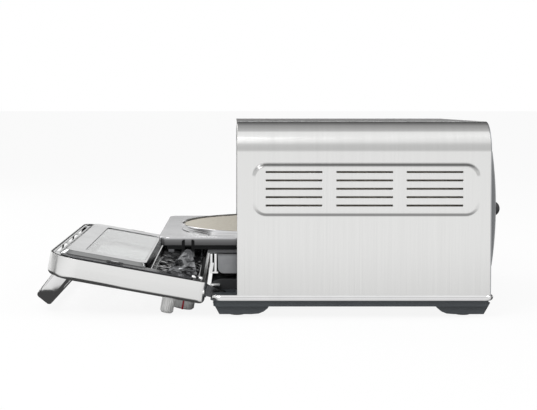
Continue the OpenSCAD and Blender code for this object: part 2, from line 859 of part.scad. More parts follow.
module carriage_bars() {
    color("#a0a2a4") in_frame() {
        block([-plate_x, -98, 84.6], [plate_x, -90, 91.5]);
        block([-plate_x, 198, 56], [plate_x, 206, 61.5]);
    }
}

module carriage_runners() {
    x0 = plate_x + plate_t;
    color("#d9d9d6") in_frame() both_sides() {
        block([x0, 16, 57.6], [cavity_hw - 10, 206, 62.4]);
        block([cavity_hw - 10, 16, rail_z[0] + 2], [cavity_hw - 2, 206, rail_z[1] - 2]);
    }
}

module carriage_posts() {
    color("gainsboro") in_frame() both_sides() along_x(plate_x - 4, plate_x + plate_t + 1.5) {
        translate([-38, 54]) square([3, 28]);
        translate([-32.2, 54]) square([3.2, 28]);
        translate([-38, 54]) square([11, 2.4]);
    }
}

outer_wrap();
base_tray();
base_trim();
rubber_feet();
rear_panel();
rear_cover();
wall_spacers();
cord_gland();
front_frame();
front_sill();
cavity_liner();
insulation_blanket();
lower_element_outer();
lower_element_inner();
lower_reflector();
upper_element_outer();
upper_element_inner();
upper_shield();
element_clips();
temperature_probes();
deck_rails();
hinge_brackets();
hinge_pins();
stop_bars();
fan_housing();
fan_rotor();
power_board();
terminal_block();
body_screws();
door_shell();
door_liner();
door_insulation();
window_outer();
window_inner();
window_retainer();
handle();
handle_screws();
hinge_arms();
hinge_bushes();
draw_ears();
draw_pins();
control_boards();
dial_controls();
door_studs();
dial_right();
dial_left();
timer_knob_right();
timer_knob_left();
deck_tray();
stone_ring();
pizza_stone();
carriage_plates();
carriage_bars();
carriage_runners();
carriage_posts();
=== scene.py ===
import json
import math

import bmesh
import bpy
from mathutils import Matrix, Vector, noise

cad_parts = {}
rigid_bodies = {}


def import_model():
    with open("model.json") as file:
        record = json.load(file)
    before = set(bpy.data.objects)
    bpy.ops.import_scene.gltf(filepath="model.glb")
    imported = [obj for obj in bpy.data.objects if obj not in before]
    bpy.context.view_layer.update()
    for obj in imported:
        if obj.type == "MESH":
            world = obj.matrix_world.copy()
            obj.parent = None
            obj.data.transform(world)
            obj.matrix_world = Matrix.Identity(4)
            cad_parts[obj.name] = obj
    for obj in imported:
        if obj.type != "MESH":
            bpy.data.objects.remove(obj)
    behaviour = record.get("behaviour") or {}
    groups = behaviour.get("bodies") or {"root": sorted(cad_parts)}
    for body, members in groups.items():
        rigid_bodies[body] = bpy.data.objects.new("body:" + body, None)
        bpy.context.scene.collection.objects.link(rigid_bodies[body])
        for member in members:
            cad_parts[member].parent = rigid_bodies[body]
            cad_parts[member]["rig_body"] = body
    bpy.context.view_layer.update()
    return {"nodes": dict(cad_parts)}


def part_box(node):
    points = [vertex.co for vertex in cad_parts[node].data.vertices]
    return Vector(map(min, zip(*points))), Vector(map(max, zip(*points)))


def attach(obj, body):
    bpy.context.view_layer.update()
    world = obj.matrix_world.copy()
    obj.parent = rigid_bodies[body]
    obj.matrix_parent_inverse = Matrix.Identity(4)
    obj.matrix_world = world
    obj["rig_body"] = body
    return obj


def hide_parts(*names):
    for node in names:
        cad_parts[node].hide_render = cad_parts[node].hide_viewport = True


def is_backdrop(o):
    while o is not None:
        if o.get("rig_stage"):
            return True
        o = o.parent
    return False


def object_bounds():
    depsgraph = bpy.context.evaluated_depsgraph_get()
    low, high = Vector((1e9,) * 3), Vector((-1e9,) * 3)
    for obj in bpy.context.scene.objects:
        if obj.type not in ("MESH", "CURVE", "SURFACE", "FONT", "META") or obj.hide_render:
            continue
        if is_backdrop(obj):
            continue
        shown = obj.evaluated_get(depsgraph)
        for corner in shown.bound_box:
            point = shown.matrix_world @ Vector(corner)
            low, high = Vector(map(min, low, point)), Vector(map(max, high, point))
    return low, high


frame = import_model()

mm = 0.001


# ---- Wrapper ----
# One sheet of stainless steel, folded over the top and down both sides, with a vent panel pressed
# into each side. It is brushed: the grain runs up the sides and across the top. Screws hold it
# to the base and the rear panel.

def shade(red, green, blue):
    """A colour as it is seen on a screen, 0 to 255, as the linear values that a material takes."""
    def linear(value):
        value /= 255
        return value / 12.92 if value <= 0.04045 else ((value + 0.055) / 1.055) ** 2.4
    return (linear(red), linear(green), linear(blue), 1.0)


def finish(name, tones, gloss, metallic=0.0, grain=(0.02, 0.02, 0.02), turn=0.0, detail=4.0,
           relief=0.0, depth=0.2 * mm, **sockets):
    """A finish that varies in tone, roughness and relief with one noise, stretched along its grain."""
    material = bpy.data.materials.new(name)
    material.use_nodes = True
    nodes, links = material.node_tree.nodes, material.node_tree.links
    shader = nodes["Principled BSDF"]
    shader.inputs["Metallic"].default_value = metallic
    for socket, value in sockets.items():
        shader.inputs[socket.replace("_", " ")].default_value = value
    place = nodes.new("ShaderNodeTexCoord")
    stretch = nodes.new("ShaderNodeMapping")
    stretch.vector_type = "TEXTURE"
    stretch.inputs["Scale"].default_value = grain
    stretch.inputs["Rotation"].default_value = (math.radians(turn), 0, 0)
    links.new(place.outputs["Object"], stretch.inputs["Vector"])
    cloud = nodes.new("ShaderNodeTexNoise")
    cloud.inputs["Scale"].default_value = 1.0
    cloud.inputs["Detail"].default_value = detail
    cloud.inputs["Roughness"].default_value = 0.62
    links.new(stretch.outputs["Vector"], cloud.inputs["Vector"])
    ramp = nodes.new("ShaderNodeValToRGB")
    ramp.color_ramp.elements[0].position = 0.3
    ramp.color_ramp.elements[0].color = tones[0]
    ramp.color_ramp.elements[1].position = 0.7
    ramp.color_ramp.elements[1].color = tones[1]
    links.new(cloud.outputs["Fac"], ramp.inputs["Fac"])
    links.new(ramp.outputs["Color"], shader.inputs["Base Color"])
    spread = nodes.new("ShaderNodeMapRange")
    spread.inputs["From Min"].default_value = 0.3
    spread.inputs["From Max"].default_value = 0.7
    spread.inputs["To Min"].default_value = gloss[0]
    spread.inputs["To Max"].default_value = gloss[1]
    links.new(cloud.outputs["Fac"], spread.inputs["Value"])
    links.new(spread.outputs["Result"], shader.inputs["Roughness"])
    if relief:
        bump = nodes.new("ShaderNodeBump")
        bump.inputs["Strength"].default_value = relief
        bump.inputs["Distance"].default_value = depth
        links.new(cloud.outputs["Fac"], bump.inputs["Height"])
        links.new(bump.outputs["Normal"], shader.inputs["Normal"])
    return material


def coat(material, *nodes):
    """Gives CAD nodes that keep their own shape a material."""
    for node in nodes:
        mesh = frame["nodes"][node].data
        mesh.materials.clear()
        mesh.materials.append(material)


def shown(name, bm, body, material, edge=0.0, crease=32.0):
    """Makes a mesh a piece of the oven, smooth but for its creases, with its edges eased."""
    bmesh.ops.recalc_face_normals(bm, faces=bm.faces)
    for e in bm.edges:
        e.smooth = e.is_manifold and e.calc_face_angle() < math.radians(crease)
    for f in bm.faces:
        f.smooth = True
    mesh = bpy.data.meshes.new(name)
    bm.to_mesh(mesh)
    bm.free()
    if "custom_normal" in mesh.attributes:
        mesh.attributes.remove(mesh.attributes["custom_normal"])
    mesh.materials.clear()
    mesh.materials.append(material)
    piece = bpy.data.objects.new(name, mesh)
    bpy.context.scene.collection.objects.link(piece)
    if edge:
        bevel = piece.modifiers.new("eased_edges", "BEVEL")
        bevel.width = edge
        bevel.segments = 2
        bevel.limit_method = "ANGLE"
        bevel.angle_limit = math.radians(crease)
        bevel.harden_normals = True
        flats = piece.modifiers.new("flat_faces", "WEIGHTED_NORMAL")
        flats.keep_sharp = True
    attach(piece, body)
    return piece


def refined(name, node, material, edge=0.0, crease=32.0):
    """Stands for a node with a copy whose points are joined, so that curves shade smoothly."""
    bm = bmesh.new()
    bm.from_mesh(frame["nodes"][node].data)
    bmesh.ops.remove_doubles(bm, verts=bm.verts, dist=0.02 * mm)
    bmesh.ops.dissolve_degenerate(bm, edges=bm.edges, dist=0.01 * mm)
    bmesh.ops.dissolve_limit(bm, angle_limit=math.radians(0.4), verts=bm.verts, edges=bm.edges)
    body = frame["nodes"][node]["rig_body"]
    piece = shown(name, bm, body, material, edge, crease)
    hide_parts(node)
    return piece


def graded(nodes, stops, run="LINEAR"):
    """A ramp of greys through a list of (position, level)."""
    ramp = nodes.new("ShaderNodeValToRGB")
    ramp.color_ramp.interpolation = run
    for _ in stops[2:]:
        ramp.color_ramp.elements.new(0.5)
    for element, (position, _) in zip(ramp.color_ramp.elements, stops):
        element.position = position
    for element, (_, level) in zip(ramp.color_ramp.elements, stops):
        element.color = (level, level, level, 1)
    return ramp


def laid_on(material, tone, share=None):
    """Multiplies a finish's own tone by a ramp's, all over or by the share that a second ramp gives."""
    nodes, links = material.node_tree.nodes, material.node_tree.links
    mix = nodes.new("ShaderNodeMix")
    mix.data_type = "RGBA"
    mix.blend_type = "MULTIPLY"
    if share:
        links.new(share.outputs["Color"], mix.inputs[0])
    else:
        mix.inputs[0].default_value = 1.0
    links.new(nodes["Color Ramp"].outputs["Color"], mix.inputs[6])
    links.new(tone.outputs["Color"], mix.inputs[7])
    links.new(mix.outputs[2], nodes["Principled BSDF"].inputs["Base Color"])


def placed(material):
    """The X, Y and Z of each point of a material, in metres."""
    nodes, links = material.node_tree.nodes, material.node_tree.links
    split = nodes.new("ShaderNodeSeparateXYZ")
    links.new(nodes["Texture Coordinate"].outputs["Object"], split.inputs["Vector"])
    return split


brushed = finish("brushed_steel_upright", (shade(230, 230, 229), shade(236, 236, 235)), (0.19, 0.23),
                 metallic=1.0, grain=(0.16, 0.0016, 0.16), detail=6, relief=0.02, depth=0.02 * mm,
                 Anisotropic=0.8)
across = brushed.node_tree.nodes.new("ShaderNodeCombineXYZ")
across.inputs["Y"].default_value = 1
brushed.node_tree.links.new(across.outputs["Vector"],
                            brushed.node_tree.nodes["Principled BSDF"].inputs["Tangent"])

# Painted shade: a darker tone follows the rim of each vent panel, between the side's face and the panel's,
# and is strongest along its head and its foot. It stands for the dark reflections in the pressed steps.
side_face, panel_face = 234.8 * mm, 237.2 * mm
nodes, wires = brushed.node_tree.nodes, brushed.node_tree.links
spot = placed(brushed)
out_by = nodes.new("ShaderNodeMath")
out_by.operation = "ABSOLUTE"
wires.new(spot.outputs["X"], out_by.inputs[0])
drawn = nodes.new("ShaderNodeMapRange")
drawn.inputs["From Min"].default_value = side_face
drawn.inputs["From Max"].default_value = panel_face
wires.new(out_by.outputs["Value"], drawn.inputs["Value"])
rim = graded(nodes, [(0.1, 0.0), (0.3, 1.0), (0.7, 1.0), (0.9, 0.0)], "EASE")
wires.new(drawn.outputs["Result"], rim.inputs["Fac"])
# Painted shade along the panel's head and foot, for the reflections the steps would show.
painted_rim_shade = graded(nodes, [(0.144, 0.4), (0.152, 1.0), (0.204, 1.0), (0.211, 0.2)])
wires.new(spot.outputs["Z"], painted_rim_shade.inputs["Fac"])
laid_on(brushed, painted_rim_shade, share=rim)
refined("wrapper", "outer_wrap", brushed, edge=0.9 * mm, crease=12)


# ---- Base ----
# A dark moulded tray that closes the case from below and stands on four feet. A bright half-round
# strip clips round its top edge, and rubber pads are pressed into the feet.

base_grey = finish("base_plastic", (shade(58, 62, 66), shade(66, 71, 75)), (0.42, 0.5),
                   grain=(0.0012, 0.0012, 0.0012), detail=3, relief=0.25, depth=0.05 * mm)
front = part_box("outer_wrap")[0][1]
base = refined("base", "base_tray", base_grey, edge=0.5 * mm)

# The base's nose, below the bright strip, is drawn a little further forward.
nose = bmesh.new()
nose.from_mesh(base.data)
bmesh.ops.translate(nose, vec=(0, -3 * mm, 0),
                    verts=[v for v in nose.verts if v.co.y < front - 19 * mm and v.co.z < 25.5 * mm])
nose.to_mesh(base.data)
nose.free()

bright = finish("polished_steel", (shade(242, 242, 242), shade(247, 247, 247)), (0.08, 0.13),
                metallic=1.0, grain=(0.03, 0.03, 0.03), detail=3)
refined("base_strip", "base_trim", bright)

pad_rubber = finish("pad_rubber", (shade(28, 28, 29), shade(36, 36, 37)), (0.75, 0.85),
                    grain=(0.001, 0.001, 0.001), relief=0.3, depth=0.05 * mm)
coat(pad_rubber, "rubber_feet")


# ---- Rear ----
# A zinc-plated panel closes the back. A dark grey painted cover stands over the fan and the cord's
# gland, and two domes on it keep the oven off a wall.

plated = finish("plated_sheet", (shade(176, 178, 180), shade(190, 192, 194)), (0.32, 0.42),
                metallic=1.0, grain=(0.02, 0.02, 0.02), detail=5)
coat(plated, "rear_panel", "front_frame", "element_clips", "window_retainer")

cover_paint = finish("cover_paint", (shade(120, 122, 124), shade(128, 130, 132)), (0.36, 0.44),
                     metallic=0.3, grain=(0.002, 0.002, 0.002), relief=0.1, depth=0.04 * mm)
refined("rear_guard", "rear_cover", cover_paint, edge=0.3 * mm)

black_plastic = finish("black_plastic", (shade(34, 35, 37), shade(42, 43, 45)), (0.45, 0.55),
                       grain=(0.0015, 0.0015, 0.0015), relief=0.2, depth=0.04 * mm)
coat(black_plastic, "cord_gland", "fan_housing", "fan_rotor")
refined("spacer_domes", "wall_spacers", black_plastic)

screw_steel = finish("screw_steel", (shade(150, 150, 152), shade(176, 176, 178)), (0.3, 0.4),
                     metallic=1.0, grain=(0.002, 0.002, 0.002))
coat(screw_steel, "handle_screws")


def cross_head(bm, place, radius, height):
    """Adds a screw's pan head with a cross recess; place carries its foot, with +Z outwards."""
    arm, slot = 0.62 * radius, 0.17 * radius
    corners = [(slot, arm), (slot, slot), (arm, slot), (arm, -slot), (slot, -slot), (slot, -arm),
               (-slot, -arm), (-slot, -slot), (-arm, -slot), (-arm, slot), (-slot, slot), (-slot, arm)]
    cross = bm.faces.new([bm.verts.new(place @ Vector((x, y, height))) for x, y in corners])
    bmesh.ops.subdivide_edges(bm, edges=list(cross.edges), cuts=1)
    floor = bmesh.ops.extrude_discrete_faces(bm, faces=[cross])["faces"][0]
    outward = place.to_3x3() @ Vector((0, 0, 1))
    bmesh.ops.translate(bm, verts=floor.verts, vec=-0.7 * height * outward)
    ring = bmesh.ops.create_circle(bm, segments=24, radius=0.8 * radius,
                                   matrix=place @ Matrix.Translation((0, 0, 0.94 * height)))["verts"]
    crown = list({e for v in ring for e in v.link_edges})
    top = [e for e in {e for v in floor.verts for e in v.link_edges} if e not in floor.edges]
    lips = [e for v in {e.other_vert(v) for v in floor.verts for e in v.link_edges if e in top}
            for e in v.link_edges if e not in top]
    bmesh.ops.bridge_loops(bm, edges=crown + list(set(lips)))
    for wider, drop in ((1.18, 0.24), (1.06, 0.3), (1.0, 0.4)):
        grown = bmesh.ops.extrude_edge_only(bm, edges=crown)["geom"]
        crown = [e for e in grown if isinstance(e, bmesh.types.BMEdge)]
        foot = [v for v in grown if isinstance(v, bmesh.types.BMVert)]
        bmesh.ops.scale(bm, vec=(wider, wider, 1), verts=foot, space=place.inverted())
        bmesh.ops.translate(bm, verts=foot, vec=-drop * height * outward)


# Nine screws hold the wrapper to the rear panel, and their heads come to rest at any angle.
screws = bmesh.new()
rear_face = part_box("rear_panel")[1][1]
screw_radius, screw_height = 4 * mm, 1.8 * mm
for x, z in [(x, z) for x in (-214, 214) for z in (44, 130, 216)] + [(x, 250) for x in (-90, 0, 90)]:
    cross_head(screws, Matrix.Translation((x * mm, rear_face, z * mm))
               @ Matrix.Rotation(math.radians(-90), 4, "X") @ Matrix.Rotation(0.3 + 1.7 * x + z, 4, "Z"),
               screw_radius, screw_height)
case_screws = shown("case_screws", screws, "oven_body", screw_steel)
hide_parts("body_screws")


# ---- Mouth of the oven ----
# A dark moulded housing runs across under the door, round the hinge line, with a bright bar at each
# end. Brackets of dark steel carry the hinges, and rails of the same steel carry the deck.

refined("sill", "front_sill", black_plastic, edge=0.5 * mm)
refined("sill_bars", "stop_bars", bright, edge=0.3 * mm)

work_steel = finish("work_steel", (shade(84, 85, 87), shade(104, 105, 107)), (0.2, 0.3),
                    metallic=1.0, grain=(0.02, 0.02, 0.02), detail=5)
coat(work_steel, "hinge_brackets", "deck_rails")


# ---- Cavity ----
# A welded box of aluminised sheet with a blanket of ceramic wool round it. It holds two pairs of
# round heating elements, a reflector, a shield and two temperature probes.

cavity_steel = finish("cavity_steel", (shade(140, 140, 140), shade(160, 160, 159)), (0.34, 0.48),
                      metallic=1.0, grain=(0.05, 0.05, 0.05), detail=6)
coat(cavity_steel, "cavity_liner", "lower_reflector", "upper_shield")

wool = finish("ceramic_wool", (shade(196, 190, 176), shade(222, 217, 204)), (0.9, 1.0),
              grain=(0.004, 0.004, 0.004), relief=0.6, depth=0.6 * mm)
coat(wool, "insulation_blanket", "door_insulation")

heater = finish("oxidised_alloy", (shade(58, 53, 50), shade(92, 84, 78)), (0.5, 0.65),
                metallic=0.8, grain=(0.006, 0.006, 0.006), relief=0.2, depth=0.05 * mm)
for ring in ("lower_element_outer", "lower_element_inner", "upper_element_outer", "upper_element_inner"):
    refined(ring.replace("element", "heater"), ring, heater)

brass = finish("brass", (shade(176, 146, 84), shade(200, 170, 104)), (0.25, 0.35),
               metallic=1.0, grain=(0.003, 0.003, 0.003))
coat(brass, "temperature_probes", "hinge_bushes")
coat(bright, "hinge_pins")
coat(work_steel, "draw_pins")


# ---- Electrics ----
# The power board stands beside the cavity, and a board stands behind each pair of knobs. The mains
# lead would end at the ceramic block.

board_green = finish("circuit_board", (shade(34, 82, 52), shade(42, 98, 62)), (0.35, 0.5),
                     grain=(0.003, 0.003, 0.003), detail=6)
coat(board_green, "power_board", "control_boards")
white_ceramic = finish("white_ceramic", (shade(222, 218, 206), shade(234, 230, 219)), (0.5, 0.6),
                       grain=(0.003, 0.003, 0.003))
coat(white_ceramic, "terminal_block")


# ---- Door ----
# A deep shell of brushed steel, spot-welded to a bright pressed liner. The liner carries the
# window's frame and the recess for the deck, and studs fasten the two together.

door_lean = 79.7
hinge_y, hinge_z = -21.2 * mm, 23.6 * mm
door_brushed = finish("brushed_steel_door", (shade(242, 242, 241), shade(247, 247, 246)), (0.18, 0.24),
                      metallic=1.0, grain=(0.0016, 0.0016, 0.12), turn=door_lean, detail=5,
                      relief=0.02, depth=0.02 * mm)
refined("door_case", "door_shell", door_brushed, edge=0.3 * mm)

liner_bright = finish("liner_steel", (shade(190, 191, 191), shade(200, 201, 201)), (0.10, 0.16),
                      metallic=1.0, grain=(0.06, 0.06, 0.06), detail=3)

# Painted shade: the liner is darkened below its window, for the dark reflections under the deck. The tone is
# measured up the shut door, from the hinge.
dark_below, light_above = 104.5 * mm, 106 * mm
nodes, wires = liner_bright.node_tree.nodes, liner_bright.node_tree.links
tint = nodes.new("ShaderNodeMapping")
tint.vector_type = "TEXTURE"
tint.inputs["Location"].default_value = (0, front + hinge_y, hinge_z)
tint.inputs["Rotation"].default_value = (math.radians(door_lean), 0, 0)
height = nodes.new("ShaderNodeSeparateXYZ")
painted_lower_shade = nodes.new("ShaderNodeValToRGB")
painted_lower_shade.color_ramp.elements[0].position = dark_below
painted_lower_shade.color_ramp.elements[0].color = shade(84, 85, 87)
painted_lower_shade.color_ramp.elements[1].position = light_above
painted_lower_shade.color_ramp.elements[1].color = (1, 1, 1, 1)
wires.new(nodes["Texture Coordinate"].outputs["Object"], tint.inputs["Vector"])
wires.new(tint.outputs["Vector"], height.inputs["Vector"])
wires.new(height.outputs["Z"], painted_lower_shade.inputs["Fac"])
laid_on(liner_bright, painted_lower_shade)
refined("door_lining", "door_liner", liner_bright, edge=0.5 * mm)
refined("door_stud_heads", "door_studs", bright)
coat(work_steel, "hinge_arms", "draw_ears")

# The door's own pieces are drawn shut, and door_place lays them down about the hinge.
door_rim = -1.2 * mm
door_place = (Matrix.Translation((0, front + hinge_y, hinge_z))
              @ Matrix.Rotation(math.radians(door_lean), 4, "X")
              @ Matrix.Translation((0, -hinge_y, -hinge_z)))


def panel(bm, low, high, radii, y):
    """Adds a plate's face at y on the shut door, facing the oven, with its lower and upper corners
    rounded by the two radii."""
    made = bmesh.ops.create_grid(bm, x_segments=1, y_segments=1, size=0.5, matrix=(
        Matrix.Translation(((low[0] + high[0]) / 2, y, (low[1] + high[1]) / 2))
        @ Matrix.Rotation(math.radians(-90), 4, "X")
        @ Matrix.Diagonal((high[0] - low[0], high[1] - low[1], 1, 1))))["verts"]
    for upper, radius in enumerate(radii):
        corners = [v for v in made if v.is_valid and (v.co.z > (low[1] + high[1]) / 2) == bool(upper)]
        bmesh.ops.bevel(bm, geom=corners, affect="VERTICES", offset=radius, segments=10,
                        profile=0.5, material=-1)
    return bm.faces[:][-1]


# A black cord of glass fibre fills the seam between the shell and the liner.
seam = bmesh.new()
ring = panel(seam, (-226.6 * mm, 48.9 * mm), (226.6 * mm, 273.1 * mm), (8.6 * mm, 43.6 * mm),
             door_rim - 0.5 * mm)
bmesh.ops.inset_region(seam, faces=[ring], thickness=1.6 * mm, use_even_offset=True, use_boundary=True)
bmesh.ops.delete(seam, geom=[ring], context="FACES_ONLY")
band = bmesh.ops.extrude_face_region(seam, geom=list(seam.faces))["geom"]
bmesh.ops.translate(seam, verts=[v for v in band if isinstance(v, bmesh.types.BMVert)], vec=(0, 1.0 * mm, 0))
bmesh.ops.transform(seam, matrix=door_place, verts=seam.verts)
seam_black = finish("seam_black", (shade(24, 24, 25), shade(34, 34, 35)), (0.5, 0.6),
                    grain=(0.001, 0.001, 0.001))
shown("seam_cord", seam, "door", seam_black)

# A strip of polished steel lies along each side of the window's frame, over the liner's seam. Its dark tone
# is painted shade, for the shadow in the groove there.
strip_steel_painted_shade = finish("strip_steel_painted_shade", (shade(84, 85, 87), shade(106, 107, 109)), (0.2, 0.28),
                     metallic=1.0, grain=(0.03, 0.09, 0.03), turn=door_lean, detail=3)
for side in (1, -1):
    strip = bmesh.new()
    panel(strip, (-222.4 * mm, 50 * mm), (222.4 * mm, 268.9 * mm), (6 * mm, 40 * mm), door_rim - 1.2 * mm)
    for point, away in (((side * 197.6 * mm, 0, 0), (-side, 0, 0)), ((0, 0, 71 * mm), (0, 0, -1)),
                        ((0, 0, 257 * mm), (0, 0, 1))):
        bmesh.ops.bisect_plane(strip, geom=list(strip.verts) + list(strip.edges) + list(strip.faces),
                               plane_co=point, plane_no=away, clear_outer=True)
    band = bmesh.ops.extrude_face_region(strip, geom=list(strip.faces))["geom"]
    bmesh.ops.translate(strip, verts=[v for v in band if isinstance(v, bmesh.types.BMVert)],
                        vec=(0, 3.2 * mm, 0))
    bmesh.ops.transform(strip, matrix=door_place, verts=strip.verts)
    shown("side_strip_" + ("right" if side > 0 else "left"), strip, "door", strip_steel_painted_shade,
          edge=0.4 * mm)

# Thin foil, crumpled as it was laid, covers the floor of the recess and the ears' outer sides. Its dark tone
# is painted shade, for the shade under the deck, and its pale patches are painted glints.
foil = bmesh.new()
bmesh.ops.create_grid(foil, x_segments=72, y_segments=14, size=0.5, matrix=(
    Matrix.Translation((0, door_rim - 15.9 * mm, 94.4 * mm)) @ Matrix.Rotation(math.radians(-90), 4, "X")
    @ Matrix.Diagonal((350 * mm, 65.6 * mm, 1, 1))))
for v in foil.verts:
    spot = v.co * 131
    v.co += Vector((1.6 * noise.noise(spot * 1.7), 2.1 * noise.noise(spot),
                    0.9 * noise.noise(spot * 1.9 + Vector((7, 3, 1))))) * mm
bmesh.ops.triangulate(foil, faces=foil.faces)
bmesh.ops.transform(foil, matrix=door_place, verts=foil.verts)
foil_painted_shade = finish("foil_painted_shade", (shade(40, 41, 43), shade(168, 169, 171)), (0.06, 0.16),
                   metallic=0.85, grain=(0.012, 0.012, 0.012), detail=3)
lining_foil = shown("recess_foil", foil, "door", foil_painted_shade, crease=3)
thick = lining_foil.modifiers.new("foil_gauge", "SOLIDIFY")
thick.thickness = 0.15 * mm
ears = bmesh.new()
outline = [(-2.2, 63), (-2.2, 107.5), (8, 100.5), (30.2, 88), (28.3, 75.4), (8, 66.6)]
for side in (1, -1):
    ears.faces.new([ears.verts.new((side * 181.9, y, z)) for y, z in outline])
bmesh.ops.triangulate(ears, faces=ears.faces)
bmesh.ops.subdivide_edges(ears, edges=ears.edges, cuts=5, use_grid_fill=True)
bmesh.ops.scale(ears, vec=(mm, mm, mm), verts=ears.verts)
for v in ears.verts:
    spot = v.co * 140
    v.co += Vector((2.6 * noise.noise(spot), 0.8 * noise.noise(spot * 1.7), 0)) * mm
bmesh.ops.transform(ears, matrix=door_place, verts=ears.verts)
ear_foil = shown("ear_foil", ears, "door", foil_painted_shade, crease=3)
thick = ear_foil.modifiers.new("foil_gauge", "SOLIDIFY")
thick.thickness = 0.15 * mm

# A catch on each side strip: a dark oval dish with a bright tongue.
for side in (1, -1):
    for name, half, wide, low, tall, coating in (("dish", 12, 3.6, 1.9, 0.5, seam_black),
                                                 ("tongue", 5.5, 1.2, 2.3, 0.6, bright)):
        catch = bmesh.new()
        panel(catch, (side * 208 - wide, 180.5 - half), (side * 208 + wide, 180.5 + half),
              (wide * 0.99, wide * 0.99), low)
        band = bmesh.ops.extrude_face_region(catch, geom=list(catch.faces))["geom"]
        bmesh.ops.translate(catch, verts=[v for v in band if isinstance(v, bmesh.types.BMVert)],
                            vec=(0, tall, 0))
        bmesh.ops.transform(catch, matrix=door_place @ Matrix.Scale(mm, 4), verts=catch.verts)
        shown("catch_" + name + ("_right" if side > 0 else "_left"), catch, "door",
              coating)

# A black channel across the liner's foot closes the gap below the deck's nose.
channel = bmesh.new()
made = bmesh.ops.create_cube(channel, size=1)["verts"]
bmesh.ops.scale(channel, vec=(330, 28, 4.6), verts=made)
bmesh.ops.translate(channel, vec=(0, 11.4, 57.2), verts=made)
bmesh.ops.transform(channel, matrix=door_place @ Matrix.Scale(mm, 4), verts=channel.verts)
shown("foot_channel", channel, "door", seam_black, edge=0.8 * mm)

clear = finish("clear_glass", (shade(246, 250, 249), shade(250, 252, 251)), (0.0, 0.02),
               grain=(0.1, 0.1, 0.1), Transmission_Weight=1.0, IOR=1.46)
coat(clear, "window_outer", "window_inner")

refined("handle_bail", "handle", bright)

control_black = finish("control_black", (shade(56, 56, 58), shade(66, 66, 68)), (0.5, 0.6),
                       grain=(0.002, 0.002, 0.002))
coat(control_black, "dial_controls")


# ---- Knobs ----
# Turned knobs with fine flutes and a pale satin finish: a dial and a smaller timer knob at each end
# of the door. Each turns on the shaft of the control behind the door's face.

knob_steel = finish("knob_steel", (shade(234, 234, 233), shade(240, 240, 239)), (0.3, 0.36),
                    metallic=0.6, grain=(0.03, 0.03, 0.03), detail=2)
for side in ("right", "left"):
    refined("dial_knob_" + side, "dial_" + side, knob_steel, edge=0.25 * mm)
    refined("timer_" + side, "timer_knob_" + side, knob_steel, edge=0.25 * mm)

# A red line of enamel is let into each dial, down its side and across its end.
dial_x, dial_z = 172, 76
timer_x, timer_z = 205, 97
index_red = finish("index_enamel", (shade(186, 24, 44), shade(206, 34, 54)), (0.3, 0.36),
                   grain=(0.002, 0.002, 0.002))
for side, sign in (("right", 1), ("left", -1)):
    line = bmesh.new()
    for low, high in (((11.5, -50.35, -1.3), (16.3, -33.4, 1.3)), ((3, -50.35, -1.3), (11.5, -49.6, 1.3))):
        made = bmesh.ops.create_cube(line, size=1)["verts"]
        spot = [(a + b) / 2 for a, b in zip(low, high)]
        bmesh.ops.scale(line, vec=[b - a for a, b in zip(low, high)], verts=made)
        bmesh.ops.translate(line, vec=(dial_x * sign + spot[0], spot[1], dial_z + spot[2]), verts=made)
    bmesh.ops.transform(line, matrix=door_place @ Matrix.Scale(mm, 4), verts=line.verts)
    shown("dial_index_" + side, line, side + "_dial", index_red, edge=0.2 * mm)

# Black marks are printed on the door's face round each knob.
print_black = finish("print_black", (shade(30, 30, 31), shade(40, 40, 41)), (0.5, 0.6),
                     grain=(0.002, 0.002, 0.002))
mark_wide, mark_deep, mark_y = 1.2, 0.5, -32.25
marks = bmesh.new()
for side in (1, -1):
    for x, z, start, length, count in ((dial_x, dial_z, 18.6, 3.4, 11), (timer_x, timer_z, 11.2, 2.2, 9)):
        for n in range(count):
            made = bmesh.ops.create_cube(marks, size=1)["verts"]
            tall = length if n % 2 == 0 else length * 0.6
            bmesh.ops.scale(marks, vec=(mark_wide, mark_deep, tall), verts=made)
            bmesh.ops.translate(marks, vec=(0, mark_y, start + length / 2), verts=made)
            bmesh.ops.rotate(marks, cent=(0, 0, 0), verts=made,
                             matrix=Matrix.Rotation(math.radians(-135 + 270 * n / (count - 1)), 3, "Y"))
            bmesh.ops.translate(marks, vec=(x * side, 0, z), verts=made)
bmesh.ops.transform(marks, matrix=door_place @ Matrix.Scale(mm, 4), verts=marks.verts)
shown("dial_marks", marks, "door", print_black)


# ---- Deck ----
# A polished tray with a ring that carries the stone. Plates and bars below it run on white runners
# in the rails, and a grey baffle under the tray's nose closes the gap to the door.

tray_steel = finish("tray_steel", (shade(234, 234, 236), shade(242, 242, 244)), (0.12, 0.2),
                    metallic=1.0, grain=(0.08, 0.08, 0.08), detail=4)

# Painted shade: the tray's skirt is darker than its top, and darkest at its foot, for the dark floor it
# mirrors. A thin band at the skirt's top keeps the full tone as a painted highlight line.
painted_skirt_shade = graded(tray_steel.node_tree.nodes, [(0.0935, 0.09), (0.0995, 0.17), (0.1018, 0.24),
                                                 (0.1027, 1.0)])
tray_steel.node_tree.links.new(placed(tray_steel).outputs["Z"], painted_skirt_shade.inputs["Fac"])
laid_on(tray_steel, painted_skirt_shade)
refined("deck_plate", "deck_tray", tray_steel, edge=0.5 * mm)
refined("stone_holder", "stone_ring", bright)

stone = finish("fired_stone", (shade(204, 197, 182), shade(224, 219, 207)), (0.85, 0.95),
               grain=(0.004, 0.004, 0.004), detail=8, relief=0.4, depth=0.15 * mm)
refined("baking_stone", "pizza_stone", stone)

# Painted shadow: the carriage's plates are darkened above the runners, for the shadow under the tray.
plate_steel = finish("plate_steel", (shade(140, 141, 143), shade(160, 161, 163)), (0.3, 0.4),
                     metallic=1.0, grain=(0.02, 0.02, 0.02), detail=5)
painted_plate_shadow = graded(plate_steel.node_tree.nodes, [(0.079, 1.0), (0.084, 0.05)])
plate_steel.node_tree.links.new(placed(plate_steel).outputs["Z"], painted_plate_shadow.inputs["Fac"])
laid_on(plate_steel, painted_plate_shadow)
coat(plate_steel, "carriage_plates")

